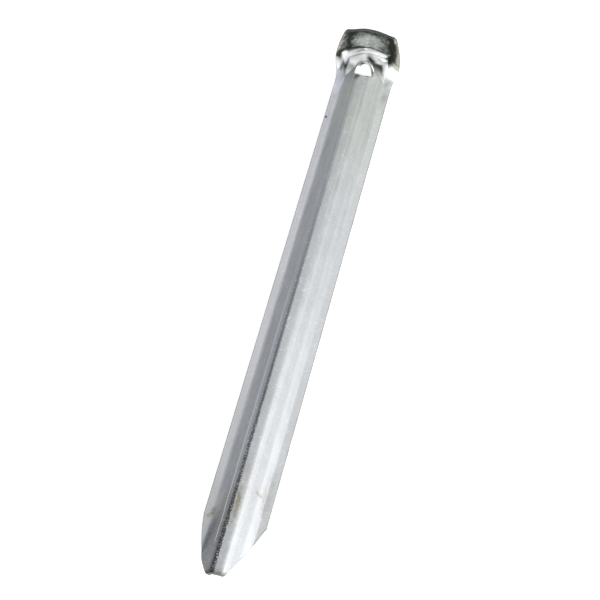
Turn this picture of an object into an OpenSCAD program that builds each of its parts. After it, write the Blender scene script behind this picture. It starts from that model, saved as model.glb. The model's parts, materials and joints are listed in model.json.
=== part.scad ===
// Pressed steel tent stake, made from one strip of galvanised sheet.
// It lies on its flanges: the ridge and the folded head point up (+Z), the head is at +Y and
// the point at -Y. The origin is under the middle of the stake, on the surface it lies on.

/* [Stake] */
// Length from the point to the back of the head
stake_length = 300; // [220:5:400]
// Width across the two flanges
stake_width = 28; // [27:0.5:30]
// Height of the ridge above the surface that the flanges lie on
ridge_height = 13.5; // [12:0.25:14]
// Thickness of the sheet
sheet = 1.5; // [1.2:0.1:1.8]

/* [Section] */
// Lean of the two walls, from flat
wall_angle = 60; // [56:1:62]
// Flat flange outside each wall, measured to where the flange and the wall would meet
flange_width = 4.5; // [4:0.25:5]
// Bend radius at the ridge, at the middle of the sheet
ridge_bend = 2.6; // [2:0.1:3]
// Bend radius between wall and flange, at the middle of the sheet
foot_bend = 2.2; // [1.8:0.1:2.6]

/* [Point] */
// Length of the taper from full width to the blunt end
point_length = 32; // [26:1:45]
// Width of the blunt end
point_width = 7.4; // [7:0.2:9]
// How far the blunt end sits to the left of the centre line
point_offset = 0.5; // [0:0.1:1]
// How far the left sheared side bows out from a straight cut
left_bow = 1.6; // [-1:0.2:2]
// How far the right sheared side bows out from a straight cut
right_bow = -0.6; // [-1:0.2:2]

/* [Eyelet] */
// Diameter of the hole punched through the ridge
eyelet_diameter = 8.5; // [7:0.25:9]
// Distance from the centre of the hole to the back of the head
eyelet_setback = 14.3; // [13:0.1:18]

/* [Head] */
// Height of the folded head's free edge
head_height = 27; // [24:0.5:30]
// Width across the head where it is widest
head_width = 32; // [30:0.5:33]
// Width across the head's free edge
edge_width = 25; // [22:0.5:28]
// How far the head's sides stand forward of its middle, near the fold
head_cup = 4.5; // [3:0.25:6]
// How far the free edge's corners stand forward of its middle
edge_cup = 2; // [1:0.25:3]
// Fold radius at the top of the ridge, at the middle of the sheet
ridge_fold = 2.5; // [2:0.25:3.5]
// Fold radius at the flanges, at the middle of the sheet
flange_fold = 8; // [6:0.5:9]

/* [Hidden] */

half_width = stake_width / 2;
crown = ridge_height - sheet;               // ridge above flange, at the middle of the sheet
foot_corner = half_width - flange_width;    // where the lines of wall and flange meet
ridge_corner = foot_corner - crown / tan(wall_angle);
web_flat = ridge_corner - ridge_bend * tan(wall_angle / 2);
flange_flat = foot_corner + foot_bend * tan(wall_angle / 2);
tip_y = -stake_length / 2;
head_y = stake_length / 2 - sheet / 2;      // middle of the sheet at the back of the head
eyelet_y = stake_length / 2 - eyelet_setback;
point_steps = 10;                           // flats along each sheared side of the point
bend_steps = 6;                             // flats round each bend of the section
fold_steps = 9;                             // flats round the fold at the head
head_steps = 7;                             // rows from the fold up to the free edge
straight_steps = 3;                         // rows along the straight part
cut_margin = 20;                            // how far the cutting solids reach past the sheet

// Points of half the section, [distance from the centre line, height above the flange].
half_section = [
    for (i = [0 : 1]) [web_flat * i, crown],
    for (i = [1 : bend_steps]) let (a = wall_angle * i / bend_steps)
        [web_flat + ridge_bend * sin(a), crown - ridge_bend * (1 - cos(a))],
    for (i = [bend_steps : -1 : 0]) let (a = wall_angle * i / bend_steps)
        [flange_flat - foot_bend * sin(a), foot_bend * (1 - cos(a))],
    for (i = [1 : 2]) [flange_flat + (half_width - flange_flat) * i / 2, 0]
];
last = len(half_section) - 1;
section = [
    for (i = [last : -1 : 1]) [-half_section[i][0], half_section[i][1]],
    for (i = [0 : last]) half_section[i]
];
lanes = len(section);
rows = straight_steps + fold_steps + head_steps;

function unit(v) = v / norm(v);
function ease(t) = t * t * (3 - 2 * t);
function mix(a, b, t) = a + (b - a) * t;

// One lane is a line of the sheet that runs from the point to the head's free edge: straight
// along the stake, round its own fold, then up the head. Each of these takes a point of the
// section, and the last three a row's share of the straight, the fold or the head.
function fold_radius(p) = mix(flange_fold, ridge_fold, p[1] / crown);
function lane_z(p) = sheet / 2 + p[1];
function cup(p) = pow(abs(p[0]) / half_width, 2.5);
function fold_y(p) = head_y - head_cup * cup(p) - fold_radius(p);
function head_x(p, up) = p[0] / half_width * mix(head_width, edge_width, pow(up, 1.7)) / 2;
function on_straight(p, t) = [p[0], mix(tip_y, fold_y(p), t), lane_z(p)];
function on_fold(p, t) = let (r = fold_radius(p)) [
    mix(p[0], head_x(p, 0), ease(t)),
    fold_y(p) + r * sin(90 * t),
    lane_z(p) + r * (1 - cos(90 * t))
];
function on_head(p, t) = [
    head_x(p, t),
    head_y - mix(head_cup, edge_cup, t) * cup(p),
    mix(lane_z(p) + fold_radius(p), head_height, t)
];
function sheet_point(p, row) =
    row <= straight_steps ? on_straight(p, row / straight_steps)
    : row <= straight_steps + fold_steps ? on_fold(p, (row - straight_steps) / fold_steps)
    : on_head(p, (row - straight_steps - fold_steps) / head_steps);

middle = [for (p = section) [for (row = [0 : rows]) sheet_point(p, row)]];

// Direction across the lanes or along them, averaged over the two neighbouring steps.
function across(i, j) = unit(
    (i < lanes - 1 ? unit(middle[i + 1][j] - middle[i][j]) : [0, 0, 0])
    + (i > 0 ? unit(middle[i][j] - middle[i - 1][j]) : [0, 0, 0]));
function along(i, j) = unit(
    (j < rows ? unit(middle[i][j + 1] - middle[i][j]) : [0, 0, 0])
    + (j > 0 ? unit(middle[i][j] - middle[i][j - 1]) : [0, 0, 0]));
function face_point(i, j, side) =
    middle[i][j] + side * sheet / 2 * unit(cross(across(i, j), along(i, j)));

// The whole sheet as a closed solid: an upper face, a lower face and the cut edges.
module bent_sheet() {
    layer = lanes * (rows + 1);
    upper = [for (i = [0 : lanes - 1]) for (j = [0 : rows]) face_point(i, j, 1)];
    lower = [for (i = [0 : lanes - 1]) for (j = [0 : rows]) face_point(i, j, -1)];
    function at(i, j) = i * (rows + 1) + j;
    faces = [
        for (i = [0 : lanes - 2]) for (j = [0 : rows - 1]) each [
            [at(i, j), at(i, j + 1), at(i + 1, j + 1)],
            [at(i, j), at(i + 1, j + 1), at(i + 1, j)],
            [layer + at(i, j), layer + at(i + 1, j + 1), layer + at(i, j + 1)],
            [layer + at(i, j), layer + at(i + 1, j), layer + at(i + 1, j + 1)]
        ],
        for (j = [0 : rows - 1]) each [
            [at(0, j), layer + at(0, j), layer + at(0, j + 1), at(0, j + 1)],
            [at(lanes - 1, j), at(lanes - 1, j + 1),
                layer + at(lanes - 1, j + 1), layer + at(lanes - 1, j)]
        ],
        for (i = [0 : lanes - 2]) each [
            [at(i, 0), at(i + 1, 0), layer + at(i + 1, 0), layer + at(i, 0)],
            [at(i, rows), layer + at(i, rows), layer + at(i + 1, rows), at(i + 1, rows)]
        ]
    ];
    polyhedron(points = concat(upper, lower), faces = faces);
}

// What is cut away beside the point: side is -1 on the left and 1 on the right.
module point_cut(side, bow) {
    outer = side * (half_width + cut_margin);
    translate([0, 0, -cut_margin])
        linear_extrude(ridge_height + 2 * cut_margin)
            polygon([
                for (i = [0 : point_steps]) let (t = i / point_steps) [
                    side * (mix(point_width / 2, half_width, t) + bow * 4 * t * (1 - t))
                        - point_offset * (1 - t),
                    tip_y + point_length * t
                ],
                [outer, tip_y + point_length],
                [outer, tip_y - cut_margin],
                [side * point_width / 2 - point_offset, tip_y - cut_margin]
            ]);
}

module eyelet() {
    translate([0, eyelet_y, sheet])
        cylinder(h = ridge_height + cut_margin, d = eyelet_diameter, $fn = 64);
}

module stake() {
    color("gainsboro")
        difference() {
            bent_sheet();
            point_cut(-1, left_bow);
            point_cut(1, right_bow);
            eyelet();
        }
}

stake();
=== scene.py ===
"""The pressed-steel tent stake as it looks: a bent-sheet mesh in place of the plain CAD node.

The mesh follows the same rule as the CAD solid. A lane is a line of the sheet from the point to the
head's free edge, named by its x on the straight part. reach is the place along a lane. It is 0 where the
lane starts to fold, and before that it is the distance to the fold as a negative number. From there on,
every lane takes the same stretch of reach for its fold and the same stretch for its part of the head.
"""

import json
import math

import bpy
import numpy as np
from mathutils import Matrix, Vector


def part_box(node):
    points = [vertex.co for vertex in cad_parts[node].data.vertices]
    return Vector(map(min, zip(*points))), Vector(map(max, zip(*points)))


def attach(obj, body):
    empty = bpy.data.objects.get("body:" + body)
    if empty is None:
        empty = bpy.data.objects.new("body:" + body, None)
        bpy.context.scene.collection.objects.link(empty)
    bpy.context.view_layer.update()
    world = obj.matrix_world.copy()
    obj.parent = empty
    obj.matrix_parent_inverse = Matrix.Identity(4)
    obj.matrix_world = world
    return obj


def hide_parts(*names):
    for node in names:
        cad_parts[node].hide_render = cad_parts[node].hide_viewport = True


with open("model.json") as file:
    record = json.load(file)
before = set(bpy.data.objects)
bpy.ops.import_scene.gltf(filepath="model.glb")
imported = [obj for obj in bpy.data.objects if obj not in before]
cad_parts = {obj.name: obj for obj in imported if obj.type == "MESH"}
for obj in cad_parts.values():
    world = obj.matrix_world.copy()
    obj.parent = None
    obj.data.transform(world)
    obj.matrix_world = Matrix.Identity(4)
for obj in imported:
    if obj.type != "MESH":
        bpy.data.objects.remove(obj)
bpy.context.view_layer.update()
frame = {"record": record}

MM = 0.001

# ------------------------------------------------------------------ driving sizes, in metres
box_low, box_high = (np.array(corner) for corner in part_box("stake"))
eyelet_mount = next(m for m in frame["record"]["mounts"] if m["name"] == "eyelet")

SHEET = 1.5 * MM
HALF_WIDTH = 14 * MM
RIDGE_HEIGHT = 13.5 * MM
WALL_ANGLE = math.radians(60)
FLANGE_WIDTH = 4.5 * MM
RIDGE_BEND = 2.6 * MM
FOOT_BEND = 2.2 * MM

TIP_Y = box_low[1]
POINT_LENGTH = 32 * MM
POINT_WIDTH = 7.4 * MM
POINT_OFFSET = 0.5 * MM
LEFT_BOW = 1.6 * MM
RIGHT_BOW = -0.6 * MM
END_ROLL = 0.8 * MM                 # how far the blunt end is rolled down
END_ROLL_LENGTH = 2.6 * MM
END_ROLL_HALF_WIDTH = 7 * MM

EYELET_Y = eyelet_mount["pos_m"][1]
EYELET_R = eyelet_mount["dims"]["r_mm"] * MM

HEAD_Y = box_high[1] - SHEET / 2
HEAD_TOP = 26.95 * MM
HEAD_HALF_WIDTH = 16.2 * MM
HEAD_LEFT_EXTRA = 0.15 * MM         # how much wider the left side is
EDGE_HALF_WIDTH = 12.7 * MM
EDGE_LEFT_EXTRA = 0.375 * MM
EDGE_DROP = 0.9 * MM                # how far the free edge drops at a corner, and again down to the left
HEAD_CUP = 4.5 * MM
EDGE_CUP = 2 * MM
RIDGE_FOLD = 2.5 * MM
FLANGE_FOLD = 8 * MM

# Stretches of reach that the fold and the head take on every lane.
FOLD = 6 * MM
HEAD = 12 * MM

WAVE = 0.035 * MM                   # height of the shallow waves all over the sheet
BULGE = 0.3 * MM                    # height of the bulge of each flange at the fold

# Worked out from those.
CROWN = RIDGE_HEIGHT - SHEET
FOOT_CORNER = HALF_WIDTH - FLANGE_WIDTH
RIDGE_CORNER = FOOT_CORNER - CROWN / math.tan(WALL_ANGLE)
WEB_FLAT = RIDGE_CORNER - RIDGE_BEND * math.tan(WALL_ANGLE / 2)
RIDGE_BEND_END = WEB_FLAT + RIDGE_BEND * math.sin(WALL_ANGLE)
FLANGE_FLAT = FOOT_CORNER + FOOT_BEND * math.tan(WALL_ANGLE / 2)
FOOT_BEND_START = FLANGE_FLAT - FOOT_BEND * math.sin(WALL_ANGLE)

# The arch that the section turns into, and where along Y it does so. Each side of it is the sheet's lean
# from flat, in degrees, by distance from the centre line, in millimetres.
ARCH_START, ARCH_END = 139.4 * MM, 142.6 * MM
RIGHT_LEAN = ((0, 0), (1, 0), (8.2, 32), (8.8, 80), (10.2, 80), (11.3, 0), (14, 0))
LEFT_LEAN = ((0, 0), (1, 0), (8.2, 30), (9.0, 73), (10.8, 73), (11.9, 0), (14, 0))
ARCH_SAMPLES = 400

# Height of the crease inside the fold, at the middle of the sheet, by lane, in millimetres.
CREASE = (
    (-14, 8.8), (-12.4, 9), (-10.6, 12), (-6, 14), (0, 15), (6, 14.8), (10.2, 14), (12, 9.6), (14, 8.8),
)
CREASE_SHIFTS = np.linspace(-0.8, 0.8, 7)   # how far aside its height is also taken, to round its corners

# The grooves where the walls gave way. Each is a depth, a half width and the points that it runs through, by
# lane and by Y on the flat sheet, in millimetres.
GROOVES = (
    (0.55, 2.0, (0.6, 143.9), (2.0, 142.2), (3.6, 141.2), (7.4, 141.9)),
    (0.3, 0.9, (-9.3, 142.6), (-8.6, 141.4), (-6.6, 140.6), (-5.4, 139.6)),
    (0.45, 0.9, (-9.3, 143.2), (-10.5, 141.7), (-12.0, 139.8)),
    (0.3, 0.9, (8.3, 144.9), (9.6, 145.7)),
)
# The pleats that the fold pushed up, in the same way.
PLEATS = (
    (0.35, 1.8, (-10.3, 143.8), (-9, 145.5), (-4.8, 146.3), (-1, 147.7), (4, 148.7), (6.9, 148.7)),
    (0.3, 1.4, (-9.6, 143.6), (-7.8, 143.4), (-5, 143.9), (-1.2, 145.0), (3.6, 145.4), (6.9, 145.8)),
    (0.2, 1.1, (2.4, 144.4), (5, 143.2), (7.6, 143.4)),
)
PLEATS_END = 7.2                    # reach where they have faded out, in millimetres

# The painted highlight on the shelf between the pleats and the eyelet, on the left: a half width and its
# points.
SHELF_HIGHLIGHT = (3.2, ((-7.8, 140.8), (-5, 141.8), (-1.5, 143)))


# ------------------------------------------------------------------ the middle of the sheet
NORMAL_STEP = 0.02 * MM


def ease(t):
    t = np.clip(t, 0, 1)
    return t * t * (3 - 2 * t)


def mix(a, b, t):
    return a + (b - a) * t


def oval(across, along, middle, half, fade):
    """1 up to fade - 1 of an oval's half sizes from its middle, falling to 0 at fade of them."""
    return ease(fade - np.hypot((across - middle[0]) / half[0], (along - middle[1]) / half[1]))


def hill(value, middle, half_width):
    """1 at the middle, falling smoothly to 0 at half_width on both sides."""
    return ease(1 - np.abs(value - middle) / half_width)


def section_height(x):
    """Height of the hat section's middle above the flanges'."""
    x = np.abs(x)
    ridge_arc = CROWN - RIDGE_BEND + np.sqrt(np.maximum(RIDGE_BEND**2 - (x - WEB_FLAT) ** 2, 0))
    wall = (FOOT_CORNER - x) * math.tan(WALL_ANGLE)
    foot_arc = FOOT_BEND - np.sqrt(np.maximum(FOOT_BEND**2 - (FLANGE_FLAT - x) ** 2, 0))
    bounds = [x < WEB_FLAT, x < RIDGE_BEND_END, x < FOOT_BEND_START, x < FLANGE_FLAT]
    return np.select(bounds, [CROWN + 0 * x, ridge_arc, wall, foot_arc], 0)


def arch_side(lean, x):
    """Height of one side of the arch above the flange, from its leans."""
    away = np.linspace(0, HALF_WIDTH, ARCH_SAMPLES)
    drop = np.cumsum(np.tan(np.radians(np.interp(away / MM, *zip(*lean)))))
    return np.interp(x, away, CROWN * (1 - drop / drop[-1]))


def arch_height(x):
    """Height of the arch above the flanges: the fold pushes the walls out into broad shoulders."""
    return np.where(x < 0, arch_side(LEFT_LEAN, -x), arch_side(RIGHT_LEAN, x))


def height(x, y):
    """Height of the straight sheet's middle, which turns from the hat section into the arch."""
    return mix(section_height(x), arch_height(x), ease((y - ARCH_START) / (ARCH_END - ARCH_START)))


def fold_radius(x):
    """Radius that a lane folds round, smallest at the ridge and largest at the flanges."""
    return mix(FLANGE_FOLD, RIDGE_FOLD, arch_height(x) / CROWN)


def crease_height(x):
    """Height of the crease, averaged over places nearby so that its corners are round."""
    total = sum(np.interp(x / MM + shift, *zip(*CREASE)) for shift in CREASE_SHIFTS)
    return total / len(CREASE_SHIFTS) * MM


def cup(x):
    """Share of the head's cup at a lane: 0 in its middle and 1 at its sides."""
    return 1 - (1 - np.minimum(np.abs(x / HALF_WIDTH), 1) ** 2.2) ** 2.2


def fold_start(x):
    """Y where a lane starts to fold."""
    return HEAD_Y - HEAD_CUP * cup(x) - fold_radius(x)


def flat_y(x, reach):
    """Y on the flat sheet, in millimetres."""
    return (fold_start(x) + reach) / MM


def head_x(x, up):
    """X of a lane on the head, from the crease (up = 0) to the free edge (up = 1)."""
    left = x < 0
    by_crease = HEAD_HALF_WIDTH + left * HEAD_LEFT_EXTRA
    by_edge = EDGE_HALF_WIDTH + left * EDGE_LEFT_EXTRA
    return x / HALF_WIDTH * mix(by_crease, by_edge, up**1.7)


def edge_height(x):
    """Height of the head's free edge, which drops at its corners and slopes down to the left."""
    corners = ease((np.abs(x) / MM - 12.4) / 1.6) ** 2
    slope = ease((-x / MM - 3) / 9)
    return HEAD_TOP - EDGE_DROP * corners - EDGE_DROP * slope


def smooth_sheet(x, reach):
    """The sheet's middle as the tool pressed it, before pleats and dents."""
    r, y = fold_radius(x), fold_start(x)
    z = SHEET / 2 + height(x, y + np.minimum(reach, 0))
    turn = np.clip(reach / FOLD, 0, 1)
    up = np.maximum((reach - FOLD) / HEAD, 0)
    angle = turn * math.pi / 2
    folded = [
        mix(x, head_x(x, 0), ease(turn)),
        y + np.minimum(reach, 0) + r * np.sin(angle),
        mix(z, crease_height(x), 1 - np.cos(angle)),
    ]
    raised = [
        head_x(x, up),
        HEAD_Y - mix(HEAD_CUP, EDGE_CUP, up) * cup(x),
        mix(crease_height(x), edge_height(x), up),
    ]
    return np.where((up > 0)[..., None], np.stack(raised, -1), np.stack(folded, -1))


def near_line(x, reach, half_width, points):
    """1 along the line through the points, falling to 0 at half_width from it, in millimetres."""
    where = np.stack([x, fold_start(x) + reach], -1) / MM
    nearest = np.inf
    for a, b in zip(points, points[1:]):
        a, run = np.array(a), np.subtract(b, a)
        t = np.clip((where - a) @ run / (run @ run), 0, 1)
        nearest = np.minimum(nearest, np.linalg.norm(where - a - t[..., None] * run, axis=-1))
    return ease(1 - nearest / half_width)


def near_lines(x, reach, lines, widen=1):
    """Each line's depth, and how near places on the sheet are to it when it is made widen times as wide."""
    return [
        (depth, near_line(x, reach, widen * half_width, points)) for depth, half_width, *points in lines
    ]


def relief(x, reach):
    """How far pleats, grooves and waves lift the sheet towards the side that the ridge points to."""
    lane, y = x / MM, flat_y(x, reach)
    waves = WAVE * (
        np.sin(y * 0.11 + lane * 0.5) + np.sin(y * 0.37 - lane * 0.9 + 2) * 0.5 + np.sin(y * 0.023 + 1)
    )
    pleats = np.maximum.reduce([rise * MM * near for rise, near in near_lines(x, reach, PLEATS)])
    pleats = pleats * ease(PLEATS_END - reach / MM)
    grooves = sum(depth * MM * near for depth, near in near_lines(x, reach, GROOVES))
    from_end = (y * MM - TIP_Y) / END_ROLL_LENGTH
    end = END_ROLL * ease(1 - from_end) * hill(x, -POINT_OFFSET, END_ROLL_HALF_WIDTH)
    bulges = BULGE * hill(np.abs(x), 12.2 * MM, 2 * MM) * hill(reach, 1 * MM, 3 * MM)
    return pleats + waves + bulges - grooves - end


def lip(x):
    """Reach, in millimetres, where the painted highlight on the pleats ends by the crease."""
    return 5 + 2.2 * np.minimum(np.abs(x / MM) / 9.5, 1) ** 3


def pleat_highlight(x, reach):
    """How far the pleats are painted as highlight, on their tops and a little beyond their width."""
    highlight_share = np.maximum.reduce([np.minimum(1.7 * near, 1) for _, near in near_lines(x, reach, PLEATS, 1.1)])
    return highlight_share * ease((lip(x) - reach / MM) / 0.8)


def grime(x, reach):
    """How dark the sheet is painted as shade, mostly inside the head, along its crease and in the grooves.
    """
    lane, out, y = x / MM, reach / MM, flat_y(x, reach)
    # Painted shade at the rolled-down blunt end and in one small spot on the ridge by the eyelet.
    blunt_end = 0.7 * ease((TIP_Y / MM + 2.4 - y) / 1.8)
    spot = 0.7 * oval(lane, y, (-2.3, 130.5), (0.8, 0.8), 2)

    # Painted shade in the head, along its crease and in a patch at each end of the crease, all with
    # wandering edges.
    drift = rough(np.stack([x, reach, 0 * x], -1), 3 * MM, 5)
    lane, out = lane + 0.9 * drift, out + 0.5 * drift
    inside = ease((out - 6) / 1.4)
    pale = oval(lane, out, (-0.9, 10.8), (6, 4), 1.6)
    rim = ease((lane - 12.6) / 0.8) + ease((-lane - 12.4) / 0.8)
    sides = np.maximum(hill(lane, 10.6, 3), 0.7 * hill(lane, -9.6, 2.8))
    by_edge = ease((out - 14.5) / 3)
    head = inside * np.clip(0.78 - 0.57 * pale - 0.5 * rim + 0.3 * sides + 0.15 * by_edge, 0, 1)
    line = hill(out, lip(x) + 1, 2.0 + 0.6 * ease(-lane / 4)) * (1 - ease((np.abs(lane) - 11.5) / 1.5))
    line = line * (0.85 + 0.15 * ease(-lane / 6))
    left_patch = 0.95 * oval(lane, out, (-12.1, 7.1), (1.3, 2.0), 1.6)
    right_patch = oval(lane, out - (lane - 10.1), (10.1, 6.9), (2.1, 2.0), 1.7)
    head = np.maximum.reduce([head, line, left_patch, right_patch]) * (1 - 0.9 * pleat_highlight(x, reach))

    # Painted shade in the grooves.
    grooves = sum(1.9 * depth * near for depth, near in near_lines(x, reach, GROOVES, 1.3))
    return np.clip(np.maximum.reduce([head, spot, blunt_end]) + grooves, 0, 1)


def polish(x, reach):
    """How bright the zinc is painted as highlight: over the pleats, the shelf and both flanges."""
    lane, out, y = x / MM, reach / MM, flat_y(x, reach)
    shelf = np.minimum(1.6 * near_line(x, reach, *SHELF_HIGHLIGHT), 1)
    left = ease((-lane - 10.8) / 0.8) * hill(out, 3, 4)
    left = left + 0.9 * ease((-lane - 8.6) / 1.6) * hill(out, -4, 10)
    right = 0.4 * ease((y - 130) / 4) + 0.6 * ease((y - 139) / 3)
    right = right * ease(lane - 8.1 - 1.5 * ease((142 - y) / 2))
    right = right * ease(np.minimum(5.6 + 1.4 * (lane - 10.6), 5.6) - out)
    return np.clip(pleat_highlight(x, reach) + shelf + left + 0.95 * right, 0, 1)


def normal_of(surface, x, reach):
    """Unit normals of a surface, from places a small step away on each side."""
    across = surface(x + NORMAL_STEP, reach) - surface(x - NORMAL_STEP, reach)
    along = surface(x, reach + NORMAL_STEP) - surface(x, reach - NORMAL_STEP)
    n = np.cross(across, along)
    return n / np.linalg.norm(n, axis=-1, keepdims=True)


def pressed_sheet(x, reach):
    """The sheet's middle with its pleats and dents."""
    return smooth_sheet(x, reach) + normal_of(smooth_sheet, x, reach) * relief(x, reach)[..., None]


# ------------------------------------------------------------------ the outline that was sheared
OUTLINE_SAMPLES = 200


def point_side(t, side, bow):
    """X of a sheared side of the point, from the blunt end (t = 0) to the full width (t = 1)."""
    straight = side * mix(POINT_WIDTH / 2, HALF_WIDTH, t) - POINT_OFFSET * (1 - t)
    return straight + side * bow * 4 * t * (1 - t)


def cut_y(x):
    """Y where a lane starts, on a sheared side or on the blunt end."""
    t = np.linspace(0, 1, OUTLINE_SAMPLES)
    y = TIP_Y + POINT_LENGTH * t
    left = np.interp(-x, -point_side(t, -1, LEFT_BOW), y)
    right = np.interp(x, point_side(t, 1, RIGHT_BOW), y)
    return np.where(x < 0, left, right)


# ------------------------------------------------------------------ the grid of lanes and rows
BLOCK = 6 * MM              # half the side of the square of grid that is bent round the eyelet
RING = 3.6 * MM             # half the side of the square hole in that grid, which becomes the round eyelet
SLACK = 0.01 * MM           # how near to a line of the grid counts as on it
TINY = 1e-9                 # keeps a division by a length away from 0
POINT_ROWS_END = -108 * MM  # Y where the rows have turned from following the point to lying straight across
EYELET_REACH = EYELET_Y - float(fold_start(np.array(0.0)))


def steps(*stops):
    """Values from stop to stop. Each stop but the last is (value, spacing), and the last is a value."""
    ends = [stop[0] for stop in stops[1:-1]] + [stops[-1]]
    values = []
    for (start, gap), end in zip(stops[:-1], ends):
        values += list(np.linspace(start, end, max(1, round(abs(end - start) / gap)), endpoint=False))
    return np.array(values + [ends[-1]])


def lane_positions():
    """X of every lane, closer together at the bends."""
    half = steps(
        (0, 0.45 * MM), (RING, 0.4 * MM), (BLOCK, 0.3 * MM), (FLANGE_FLAT, 0.45 * MM),
        (HALF_WIDTH - 0.9 * MM, 0.45 * MM), HALF_WIDTH,
    )
    return np.concatenate([-half[:0:-1], half])


def row_reaches(x):
    """The reach of every row, for each lane in x."""
    start = fold_start(x)
    first, taper_end = cut_y(x) - start, POINT_ROWS_END - start
    block_start = EYELET_REACH - BLOCK + 0 * x
    taper = steps((0, 0.012), (0.024, 0.03), (0.2, 0.06), 1)[:-1]
    shank = steps((0, 0.009), 1)[:-1]
    block = EYELET_REACH + steps((-BLOCK, 0.4 * MM), (-RING, 0.45 * MM), (RING, 0.4 * MM), BLOCK)
    top = steps((BLOCK + EYELET_REACH, 0.4 * MM), (-1.2 * MM, 0.15 * MM),
                (1.3 * FOLD, 0.4 * MM), FOLD + HEAD)
    fixed = np.concatenate([block[:-1], top])
    return np.concatenate([
        mix(first[:, None], taper_end[:, None], taper),
        mix(taper_end[:, None], block_start[:, None], shank),
        fixed + 0 * start[:, None],
    ], axis=1)


def bend_round_eyelet(x, reach):
    """Moves the grid in the block so that its square hole becomes the round eyelet.

    Returns the new x and reach of every point, and which points are inside the hole."""
    dx, dr = x, reach - EYELET_REACH
    square = np.maximum(np.abs(dx), np.abs(dr))
    inside = square < RING - SLACK
    moved = (square < BLOCK - SLACK) & ~inside
    size = np.maximum(square, TINY)
    out_x, out_reach = dx / size * BLOCK, dr / size * BLOCK + EYELET_REACH
    length = np.maximum(np.hypot(dx, dr), TINY)
    ring_x, ring_y = dx / length * EYELET_R, EYELET_Y + dr / length * EYELET_R
    t = (square - RING) / (BLOCK - RING)
    new_x = mix(ring_x, out_x, t)
    new_y = mix(ring_y, out_reach + fold_start(out_x), t)
    return np.where(moved, new_x, x), np.where(moved, new_y - fold_start(new_x), reach), inside


# ------------------------------------------------------------------ the solid
# The sheared edge's outline: how far out it stands, in millimetres, and how far through the sheet, 1 to -1.
EDGE_OUTLINE = ((-0.05, 0.93), (0.0, 0.72), (0.015, 0.2), (-0.01, -0.4), (0.0, -0.86))
EDGE_PULL = {1: 0.2 * MM, -1: 0.08 * MM}    # how far each face stops short of it
RAGGED = 0.03                               # how far it wanders at its lower side, finely and again broadly
ROUGH_WAVES = ((1.3, 2.1, 1.7), (2.9, -1.9, 3.1), (-4.7, 5.3, 3.9), (9.1, 7.7, -8.3))

FACTS = ("lane", "along", "reach", "grime", "polish", "side")
SHEET_SLOT, CUT_SLOT, PUNCHED_SLOT = 0, 1, 2


def rough(points, scale, seed):
    """Smooth values from -1 to 1 that change over about scale metres, the same on each run."""
    p = points / scale
    total = 0
    for k, (a, b, c) in enumerate(ROUGH_WAVES):
        total = total + np.sin(p[..., 0] * a + p[..., 1] * b + p[..., 2] * c + seed * (k + 1.7)) / (k + 1)
    return total / 2.1


class Solid:
    """Vertices, faces and the per-vertex facts that the material reads."""

    def __init__(self):
        self.points, self.facts, self.faces, self.slots = [], [], [], []

    def add(self, point, facts):
        self.points.append(point)
        self.facts.append(facts)
        return len(self.points) - 1

    def face(self, corners, slot):
        self.faces.append(corners)
        self.slots.append(slot)


def boundary_loops(inside):
    """The grid's outer edge and the eyelet's edge, as lists of (lane, row)."""
    lanes, rows = inside.shape
    outer = (
        [(i, 0) for i in range(lanes - 1)]
        + [(lanes - 1, j) for j in range(rows - 1)]
        + [(i, rows - 1) for i in range(lanes - 1, 0, -1)]
        + [(0, j) for j in range(rows - 1, 0, -1)]
    )
    gone = np.argwhere(inside)
    (i0, j0), (i1, j1) = gone.min(0) - 1, gone.max(0) + 1
    eyelet = (
        [(i0, j) for j in range(j0, j1)]
        + [(i, j1) for i in range(i0, i1)]
        + [(i1, j) for j in range(j1, j0, -1)]
        + [(i, j0) for i in range(i1, i0, -1)]
    )
    return outer, eyelet


def stake_mesh():
    """The whole sheet as a closed solid: two faces, the sheared outer edge and the eyelet's wall."""
    lane_x = lane_positions()
    reach = row_reaches(lane_x)
    x = np.repeat(lane_x[:, None], reach.shape[1], axis=1)
    x, reach, inside = bend_round_eyelet(x, reach)
    middle, normal = pressed_sheet(x, reach), normal_of(pressed_sheet, x, reach)
    y = fold_start(x) + reach
    facts = np.stack([x / MM, y / MM, reach / MM, grime(x, reach), polish(x, reach)], -1)
    loops = boundary_loops(inside)

    outward = np.zeros_like(middle)
    for loop in loops:
        ring = np.array([middle[at] for at in loop])
        tangent = np.roll(ring, -1, axis=0) - np.roll(ring, 1, axis=0)
        for at, t in zip(loop, tangent):
            e = np.cross(t, normal[at])
            outward[at] = e / np.linalg.norm(e)

    solid = Solid()
    layers = {}
    for side in (1, -1):
        face_points = middle + normal * side * SHEET / 2 - outward * EDGE_PULL[side]
        layers[side] = {
            (i, j): solid.add(face_points[i, j], (*facts[i, j], side))
            for i, j in np.ndindex(inside.shape) if not inside[i, j]
        }
    for i in range(inside.shape[0] - 1):
        for j in range(inside.shape[1] - 1):
            quad = [(i, j), (i + 1, j), (i + 1, j + 1), (i, j + 1)]
            if all(at in layers[1] for at in quad) and not hole_cell(x, reach, quad):
                solid.face([layers[1][at] for at in quad], SHEET_SLOT)
                solid.face([layers[-1][at] for at in reversed(quad)], SHEET_SLOT)
    outer, eyelet = loops
    add_edge(solid, outer, layers, middle, normal, outward, facts, CUT_SLOT)

    # The eyelet's wall has painted shade of its own, on the side by the head.
    round_eyelet = np.arctan2(y - EYELET_Y, x)
    facts[..., FACTS.index("grime")] = 0.9 * hill(round_eyelet, 2.0, 0.55)
    add_edge(solid, eyelet, layers, middle, normal, outward, facts, PUNCHED_SLOT)
    return solid


def hole_cell(x, reach, quad):
    """Whether a cell of the grid lies inside the eyelet."""
    cx = np.mean([x[at] for at in quad])
    cy = np.mean([reach[at] + fold_start(x[at]) for at in quad])
    return math.hypot(cx, cy - EYELET_Y) < EYELET_R * 0.97


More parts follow.
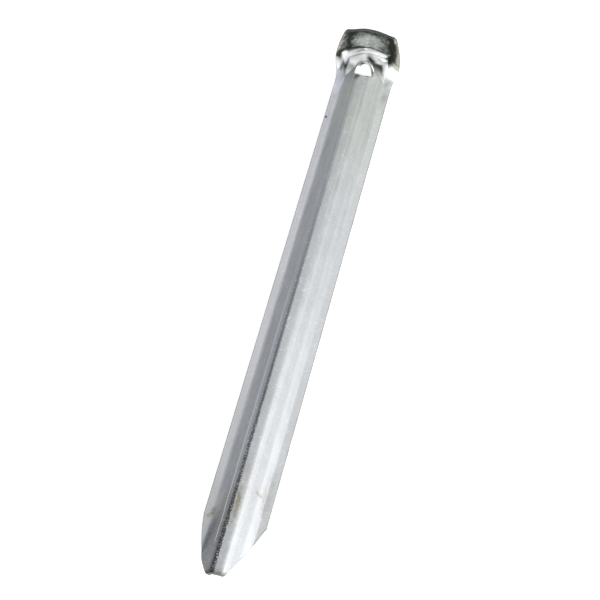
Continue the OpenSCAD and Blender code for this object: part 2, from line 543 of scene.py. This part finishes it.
def add_edge(solid, loop, layers, middle, normal, outward, facts, slot):
    """The sheared edge between the two faces, rounded over above and ragged below."""
    rings = [[layers[1][at] for at in loop]]
    for out, through in EDGE_OUTLINE:
        ring = []
        for at in loop:
            fine = rough(middle[at] + through * 0.4 * MM, 0.9 * MM, 3)
            broad = rough(middle[at], 4 * MM, 8)
            ragged = fine * RAGGED + broad * RAGGED
            shift = outward[at] * (out + ragged * (1 - through) / 2) * MM
            ring.append(solid.add(middle[at] + normal[at] * through * SHEET / 2 + shift, (*facts[at], 0)))
        rings.append(ring)
    rings.append([layers[-1][at] for at in loop])
    for a, b in zip(rings, rings[1:]):
        for k in range(len(loop)):
            n = (k + 1) % len(loop)
            solid.face([a[k], b[k], b[n], a[n]], slot)


def make_stake(materials):
    """The one visible piece, with its facts stored as attributes for the materials."""
    solid = stake_mesh()
    mesh = bpy.data.meshes.new("stake_sheet")
    points = np.clip(solid.points, box_low, box_high)
    mesh.from_pydata([tuple(p) for p in points], [], solid.faces)
    for name, values in zip(FACTS, np.array(solid.facts, dtype=np.float32).T):
        mesh.attributes.new(name, "FLOAT", "POINT").data.foreach_set("value", values.copy())
    for material in materials:
        mesh.materials.append(material)
    mesh.polygons.foreach_set("material_index", solid.slots)
    mesh.polygons.foreach_set("use_smooth", [True] * len(solid.faces))
    mesh.update()
    mesh.validate()
    piece = bpy.data.objects.new("stake_sheet", mesh)
    bpy.context.collection.objects.link(piece)
    return piece


# ------------------------------------------------------------------ materials
class Graph:
    """Short names for the few kinds of node that the materials use."""

    def __init__(self, name):
        self.material = bpy.data.materials.new(name)
        self.material.use_nodes = True
        self.tree = self.material.node_tree
        self.shader = self.tree.nodes["Principled BSDF"]

    def node(self, kind, inputs=(), **settings):
        node = self.tree.nodes.new(kind)
        for key, value in settings.items():
            setattr(node, key, value)
        for socket, value in dict(inputs).items():
            if isinstance(value, bpy.types.NodeSocket):
                self.tree.links.new(value, node.inputs[socket])
            else:
                node.inputs[socket].default_value = value
        return node

    def math(self, operation, a, b=0.0, clamp=False):
        return self.node("ShaderNodeMath", {0: a, 1: b}, operation=operation, use_clamp=clamp).outputs[0]

    def times(self, a, b):
        return self.math("MULTIPLY", a, b)

    def fact(self, name):
        return self.node("ShaderNodeAttribute", attribute_name=name).outputs["Fac"]

    def noise(self, where, scale, detail=4.0, roughness=0.6):
        inputs = {"Vector": where, "Scale": scale, "Detail": detail, "Roughness": roughness}
        return self.node("ShaderNodeTexNoise", inputs).outputs["Fac"]

    def ramp(self, value, start, end, low=0.0, high=1.0, curve="LINEAR"):
        """value from start to end as low to high, held outside."""
        inputs = {"Value": value, "From Min": start, "From Max": end, "To Min": low, "To Max": high}
        return self.node("ShaderNodeMapRange", inputs, interpolation_type=curve).outputs["Result"]

    def span(self, value, start, end, low=0.0, high=1.0):
        """The same with an S curve."""
        return self.ramp(value, start, end, low, high, "SMOOTHSTEP")

    def band(self, value, middle, half_width, soft):
        """1 within half_width of the middle, 0 past soft more."""
        away = self.math("ABSOLUTE", self.math("SUBTRACT", value, middle))
        return self.span(away, half_width, self.math("ADD", half_width, soft), 1.0, 0.0)

    def wander(self, lane, along, aside):
        """The lane, shifted slowly from side to side along the stake."""
        where = self.node("ShaderNodeCombineXYZ", {"Y": along}).outputs[0]
        return self.math("ADD", lane, self.span(self.noise(where, 0.06, 3.0), 0.3, 0.7, -aside, aside))

    def grey(self, value):
        return self.node("ShaderNodeCombineColor", {0: value, 1: value, 2: value}).outputs[0]

    def colour(self, factor, a, b, blend="MIX"):
        mixed = self.node("ShaderNodeMix", data_type="RGBA", blend_type=blend)
        for socket, value in ((0, factor), (6, a), (7, b)):
            if isinstance(value, bpy.types.NodeSocket):
                self.tree.links.new(value, mixed.inputs[socket])
            else:
                mixed.inputs[socket].default_value = value if socket == 0 else (*value, 1)
        return mixed.outputs[2]

    def scaled(self, x=1.0, y=1.0, z=1.0, turn=0.0):
        """The piece's own coordinates in millimetres, turned about Z and then scaled along each axis."""
        where = self.node("ShaderNodeTexCoord").outputs["Object"]
        where = self.node("ShaderNodeMapping", {"Vector": where, "Rotation": (0, 0, turn)}).outputs[0]
        scale = (x / MM, y / MM, z / MM)
        return self.node("ShaderNodeMapping", {"Vector": where, "Scale": scale}).outputs[0]

    def set(self, **sockets):
        for name, value in sockets.items():
            socket = self.shader.inputs[name.replace("_", " ")]
            if isinstance(value, bpy.types.NodeSocket):
                self.tree.links.new(value, socket)
            else:
                socket.default_value = value


ZINC = (0.455, 0.47, 0.485)
ZINC_GREEN = (0.45, 0.475, 0.455)
ZINC_VIOLET = (0.50, 0.51, 0.545)
ZINC_BLUE = (0.43, 0.465, 0.53)
# Bright zinc for the painted highlights and for the light score on the left wall, and a bluer painted
# highlight.
POLISHED_AND_HIGHLIGHT = (0.88, 0.89, 0.90)
HIGHLIGHT_BLUE = (0.84, 0.88, 0.98)
BEIGE = (0.44, 0.43, 0.37)
# Near-black painted shade for the inside of the head, its crease, the grooves and the eyelet's wall.
PAINTED_SHADE_DARK = (0.02, 0.023, 0.018)
WORN_BLACK = (0.028, 0.031, 0.042)
BROWN = (0.215, 0.18, 0.088)
SCRATCHED = (0.78, 0.79, 0.80)
SPECK = (0.10, 0.10, 0.09)
CHIP = (0.9, 0.9, 0.9)
CUT_LIGHT, CUT_DARK = (0.34, 0.335, 0.31), (0.16, 0.16, 0.15)
PUNCHED_LIGHT, PUNCHED_DARK = (0.92, 0.92, 0.91), (0.75, 0.75, 0.74)

# Painted shade: how much darker the left wall is along the stake and at the point, and how much darker the
# ridge and the right wall are by the head.
LEFT_WALL_DARKER, POINT_WALL_DARKER, RIGHT_DARKER = 0.44, 0.7, 0.17
INSIDE_HEAD = 0.12                  # the share of that which is left inside the head
BUMP_DEPTH = 0.04 * MM

# Painted highlight bands along the stake: lane, half width, soft edge, strength by the head and by the
# point. A strength below 0 counts as none, so those bands fade out half way.
HIGHLIGHT_BANDS = (
    (7.9, 0.5, 1.5, 0.08, 0.32), (9.4, 0.4, 1, 0.2, 0.1), (2.9, 0.4, 0.9, 0.04, 0.18),
    (-10.4, 0.4, 1, 0.2, 0), (-1.8, 0.3, 0.6, 0.2, -0.2), (2.2, 0.4, 0.8, 0.14, -0.14),
    (-12, 1.5, 1.2, 0, 0.38), (11.9, 1.4, 0.8, 0.12, 0.14),
)

# Sets of scratches: turn about Z in radians, scale along them and strength.
SCRATCHES = ((0.6, 0.12, 0.55), (-0.9, 0.1, 0.5), (0.05, 0.03, 0.25), (1.3, 0.14, 0.45))

# Brown stains near the point: lane and Y of the middle, half sizes across and along, strength.
STAINS = (
    (-11.7, -118.3, 1.5, 1.5, 0.5), (-9.8, -115.9, 1.6, 1.7, 0.6), (-6.5, -114.6, 2.6, 1.4, 0.35),
    (0.1, -117.5, 1.3, 8, 0.5), (-0.1, -113, 1.1, 5, 0.45), (6.6, -105.6, 1.7, 0.8, 0.45),
    (10.3, -102, 2.2, 12, 0.22), (0, -112, 6, 22, 0.1),
)

# Dark pits in the ridge by the eyelet and one in the left flange: lane, Y and radius.
PITS = ((1.8, 131.4, 0.5), (1.9, 129.2, 0.35), (1.4, 126.0, 0.45), (0.2, 127.4, 0.25), (-13.1, 110.6, 0.9))


def galvanised_steel():
    """Both faces of the sheet. Most marks of use, the painted highlights and the painted shade are on the
    upper one only.
    """
    g = Graph("galvanised_steel")
    lane, along, reach, side = (g.fact(name) for name in ("lane", "along", "reach", "side"))
    upper = g.span(side, 0.2, 0.6)
    even, drawn = g.scaled(), g.scaled(1.0, 0.06, 1.0)

    # The zinc's hue: greener by the head, violet on the left flange, beige on the head's rims.
    colour = g.colour(g.span(along, 40.0, 110.0), ZINC, ZINC_GREEN)
    violet = g.times(g.ramp(lane, -8.6, -10.2), g.ramp(along, 141.0, 137.0))
    violet = g.times(violet, g.ramp(along, -115.0, -60.0))
    colour = g.colour(violet, colour, ZINC_VIOLET)
    rims = g.times(g.ramp(g.math("ABSOLUTE", lane), 11.8, 12.8), g.ramp(reach, 3.0, 6.0))
    colour = g.colour(rims, colour, BEIGE)

    # Its tone: soft clouds and fine grain, with painted shade: a darker and bluer left wall, and a slightly
    # darker right side.
    cloud = g.noise(even, 0.09, 3.0)
    grain = g.noise(even, 2.6, 3.0, 0.7)
    streak = g.noise(drawn, 2.2, 3.0, 0.65)
    shade = g.math("ADD", g.span(cloud, 0.3, 0.7, 0.93, 1.05), g.span(grain, 0.3, 0.7, -0.11, 0.11))
    shade = g.math("ADD", shade, g.span(streak, 0.3, 0.7, -0.02, 0.02))
    wall_edge = g.math("ADD", lane, g.ramp(along, -116.0, -134.0, 0.0, 4.0))
    bend_edge = g.math("ADD", lane, g.ramp(along, 50.0, 110.0, 0.0, 0.4))
    wall = g.times(g.span(wall_edge, -9.4, -5.0), g.span(bend_edge, -1.5, -2.5))
    blue = g.times(wall, g.ramp(along, 125.0, 80.0, 0.0, 0.7))
    colour = g.colour(blue, colour, ZINC_BLUE)
    # Painted shade: the left wall darker, more so at the point, and the ridge and right wall darker towards
    # the head, much less inside the head.
    wall = g.times(wall, g.ramp(along, -95.0, -125.0, LEFT_WALL_DARKER, POINT_WALL_DARKER))
    right = g.times(g.span(lane, -2.4, -1.4), g.span(lane, 9.5, 7.5))
    right = g.times(right, g.ramp(along, -110.0, 110.0, 0.0, RIGHT_DARKER))
    sides = g.times(g.math("ADD", wall, right), g.ramp(reach, 4.5, 6.5, 1.0, INSIDE_HEAD))
    shade = g.times(shade, g.math("SUBTRACT", 1.0, sides))
    colour = g.colour(1.0, colour, g.grey(shade), "MULTIPLY")

    # Painted highlight bands on the bends and the flanges.
    for at_lane, half_width, soft, by_head, by_point in HIGHLIGHT_BANDS:
        strength = g.ramp(along, 110.0, -110.0, by_head, by_point)
        highlight_share = g.times(g.band(lane, at_lane, half_width, soft), strength)
        colour = g.colour(g.times(highlight_share, upper), colour, POLISHED_AND_HIGHLIGHT)

    # Scratches and specks all over.
    for turn, stretch, amount in SCRATCHES:
        lines = g.noise(g.scaled(1.0, stretch, 1.0, turn), 1.9, 1.5, 0.5)
        colour = g.colour(g.span(lines, 0.66, 0.74, 0.0, amount), colour, SCRATCHED)
    specks = g.span(g.noise(even, 0.9, 2.0, 0.5), 0.755, 0.785)
    colour = g.colour(g.times(specks, 0.7), colour, SPECK)

    # A light score down the left wall, in the half by the point.
    scored = g.band(g.wander(lane, along, 0.15), -4.2, 0.05, 0.22)
    scored = g.times(scored, g.ramp(along, 8.0, -8.0))
    scored = g.times(scored, g.ramp(along, -136.0, -132.0))
    colour = g.colour(g.times(scored, g.ramp(along, 10.0, -120.0, 0.25, 0.5)), colour, POLISHED_AND_HIGHLIGHT)

    # A worn black line with bright chips down the left ridge bend, heavier towards the point.
    ragged = g.math("ADD", lane, g.span(g.noise(even, 1.6, 4.0, 0.75), 0.25, 0.75, -0.35, 0.35))
    worn = g.band(ragged, -1.85, g.ramp(along, -60.0, -125.0, 0.28, 0.5), 0.3)
    worn = g.times(g.times(worn, g.ramp(along, 60.0, -70.0)), upper)
    blackened = g.times(worn, g.ramp(along, -80.0, -120.0, 0.68, 0.85))
    colour = g.colour(blackened, colour, WORN_BLACK)
    chips = g.span(g.noise(even, 1.9, 2.0, 0.6), 0.60, 0.66)
    chips = g.times(chips, g.band(lane, -1.7, 0.5, 0.3))
    chips = g.times(chips, g.ramp(along, -40.0, -90.0))
    colour = g.colour(g.times(chips, upper), colour, CHIP)

    # Stains with blotted edges, and pits.
    blot = g.noise(even, 0.45, 4.0, 0.65)
    for at_lane, at_y, half_x, half_y, amount in STAINS:
        across = g.math("POWER", g.math("DIVIDE", g.math("SUBTRACT", lane, at_lane), half_x), 2.0)
        down = g.math("POWER", g.math("DIVIDE", g.math("SUBTRACT", along, at_y), half_y), 2.0)
        edge = g.math("ADD", g.math("ADD", across, down), g.span(blot, 0.3, 0.7, 0.7, -0.7))
        colour = g.colour(g.times(g.span(edge, 1.5, -0.2, 0.0, amount), upper), colour, BROWN)
    flat_place = g.node("ShaderNodeCombineXYZ", {"X": lane, "Y": along}).outputs[0]
    for at_lane, at_y, size in PITS:
        inputs = {0: flat_place, 1: (at_lane, at_y, 0)}
        far = g.node("ShaderNodeVectorMath", inputs, operation="DISTANCE").outputs["Value"]
        colour = g.colour(g.times(g.span(far, size, 0.5 * size, 0.0, 0.8), upper), colour, WORN_BLACK)

    # The head: a painted highlight over the pleats, the shelf and the flanges by it, and painted shade,
    # mottled, inside it, along its crease and in the grooves.
    bright = g.times(g.fact("polish"), upper)
    highlight_zinc = g.colour(violet, POLISHED_AND_HIGHLIGHT, HIGHLIGHT_BLUE)
    colour = g.colour(g.times(bright, 0.9), colour, highlight_zinc)
    mottle = g.span(g.noise(even, 0.55, 4.0, 0.6), 0.32, 0.68, -0.36, 0.30)
    mottle = g.times(mottle, g.ramp(reach, 5.0, 7.0, 0.25, 1.0))
    dark = g.fact("grime")
    half_dark = g.times(g.times(dark, g.math("SUBTRACT", 1.0, dark)), 4.0)
    mottle = g.times(g.times(mottle, half_dark), 0.9)
    dark = g.times(g.math("ADD", dark, mottle, clamp=True), upper)
    colour = g.colour(dark, colour, PAINTED_SHADE_DARK)

    roughness = g.math("ADD", g.span(cloud, 0.3, 0.7, 0.35, 0.42), g.span(grain, 0.3, 0.7, -0.03, 0.03))
    roughness = g.math("ADD", roughness, g.times(g.math("MAXIMUM", dark, worn), 0.15))
    metallic = g.times(g.math("SUBTRACT", 1.0, g.times(bright, 0.7)), 0.6)
    bump = g.node("ShaderNodeBump", {"Height": grain, "Strength": 0.3, "Distance": BUMP_DEPTH})
    g.set(Base_Color=colour, Metallic=metallic, Roughness=roughness, Normal=bump.outputs[0])
    g.set(Specular_IOR_Level=0.2)
    return g.material


def cut_edge():
    """The sheared edge all round the stake: bare steel with darker mottling."""
    g = Graph("cut_edge")
    grain = g.noise(g.scaled(), 2.2, 4.0, 0.7)
    colour = g.colour(g.span(grain, 0.4, 0.65), CUT_LIGHT, CUT_DARK)
    # Painted shade carried over from the sheet beside the edge, darker inside the head and in the grooves.
    colour = g.colour(g.times(g.fact("grime"), g.span(grain, 0.3, 0.6, 1.0, 0.6)), colour, PAINTED_SHADE_DARK)
    g.set(Base_Color=colour, Metallic=0.7, Roughness=g.span(grain, 0.3, 0.7, 0.4, 0.65))
    return g.material


def punched_edge():
    """The wall of the eyelet, which the punch left bright."""
    g = Graph("punched_edge")
    grain = g.noise(g.scaled(1.0, 1.0, 0.2), 3.0, 3.0, 0.6)
    colour = g.colour(g.span(grain, 0.35, 0.65), PUNCHED_LIGHT, PUNCHED_DARK)
    # Painted shade on the side of the wall by the head.
    colour = g.colour(g.fact("grime"), colour, PAINTED_SHADE_DARK)
    g.set(Base_Color=colour, Metallic=1.0, Roughness=0.28)
    return g.material


def floor_material():
    """A matt sheet that glows as a light table does, so that it looks white and shows almost no shadow."""
    g = Graph("floor")
    g.set(Base_Color=(0.5, 0.5, 0.5, 1), Roughness=0.9, Emission_Color=(1, 1, 1, 1), Emission_Strength=0.72)
    return g.material


# ------------------------------------------------------------------ stage, light and camera
CAMERA_ELEVATION = math.radians(56.2)   # above the surface that the stake lies on, from its point's end
CAMERA_TURN = math.radians(6.6)         # round the stake's length, towards its right wall
CAMERA_ROLL = math.radians(16.3)
CAMERA_DISTANCE = 0.937
CAMERA_LENS = 121.5
CAMERA_SENSOR = 36.0
AIM_RIGHT, AIM_UP = 0.36 * MM, 1.52 * MM

FLOOR_HALF = 4.0
FLOOR_DROP = 0.2 * MM                   # how far the floor lies below the stake

STUDIO_COLOUR = (0.96, 0.98, 1.0, 1)
STUDIO_RISE = (("From Min", 0.10), ("From Max", 0.22), ("To Min", 0.6), ("To Max", 0.15))

# Each light is a name, a place, its two sizes and its power. All of them face the origin.
LIGHTS = (
    ("right", (0.75, 0.15, 0.42), (0.7, 0.5), 2.4),
    ("right_tip", (0.42, -0.32, 0.27), (0.3, 0.3), 3.1),
    ("front", (0.15, -0.85, 0.8), (1.1, 0.7), 9),
    ("back", (0.15, 0.7, 0.95), (1.3, 0.6), 4),
    ("left", (-0.75, 0.5, 0.3), (0.6, 0.3), 0.9),
)


def add_camera():
    """A camera that looks at the origin from the point's end, rolled so that the stake leans."""
    e, a, r = CAMERA_ELEVATION, CAMERA_TURN, CAMERA_ROLL
    away = Vector((math.sin(e) * math.sin(a), -math.cos(e), math.sin(e) * math.cos(a)))
    right = Vector((math.cos(a), 0, -math.sin(a)))
    up = away.cross(right)
    image_right = right * math.cos(r) + up * math.sin(r)
    image_up = up * math.cos(r) - right * math.sin(r)
    data = bpy.data.cameras.new("camera")
    data.lens, data.sensor_width = CAMERA_LENS, CAMERA_SENSOR
    camera = bpy.data.objects.new("camera", data)
    turned = Matrix((image_right, image_up, away)).transposed().to_4x4()
    place = away * CAMERA_DISTANCE + image_right * AIM_RIGHT + image_up * AIM_UP
    camera.matrix_world = Matrix.Translation(place) @ turned
    bpy.context.collection.objects.link(camera)
    bpy.context.scene.camera = camera


def add_area_light(name, place, size, power):
    data = bpy.data.lights.new(name, "AREA")
    data.shape, data.size, data.size_y = "RECTANGLE", *size
    data.energy = power
    light = bpy.data.objects.new(name, data)
    light.location = place
    light.rotation_euler = Vector(place).to_track_quat("Z", "Y").to_euler()
    bpy.context.collection.objects.link(light)


def add_stage():
    """The floor, the studio round it, the lights and the view transform."""
    mesh = bpy.data.meshes.new("floor")
    corners = [(x * FLOOR_HALF, y * FLOOR_HALF, 0) for x, y in ((-1, -1), (1, -1), (1, 1), (-1, 1))]
    mesh.from_pydata(corners, [], [(0, 1, 2, 3)])
    mesh.materials.append(floor_material())
    floor = bpy.data.objects.new("floor", mesh)
    floor.location.z = box_low[2] - FLOOR_DROP
    bpy.context.collection.objects.link(floor)

    # A studio that is pale all round, up to a little above the surface, and dim overhead.
    world = bpy.data.worlds.new("studio")
    world.use_nodes = True
    nodes, links = world.node_tree.nodes, world.node_tree.links
    direction, split, rise = (nodes.new(kind) for kind in (
        "ShaderNodeTexCoord", "ShaderNodeSeparateXYZ", "ShaderNodeMapRange"))
    links.new(direction.outputs["Generated"], split.inputs[0])
    links.new(split.outputs["Z"], rise.inputs["Value"])
    for socket, value in STUDIO_RISE:
        rise.inputs[socket].default_value = value
    links.new(rise.outputs["Result"], nodes["Background"].inputs["Strength"])
    nodes["Background"].inputs["Color"].default_value = STUDIO_COLOUR
    bpy.context.scene.world = world

    for light in LIGHTS:
        add_area_light(*light)
    bpy.context.scene.view_settings.view_transform = "Standard"


add_camera()
add_stage()
stake = make_stake([galvanised_steel(), cut_edge(), punched_edge()])
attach(stake, "root")
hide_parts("stake")
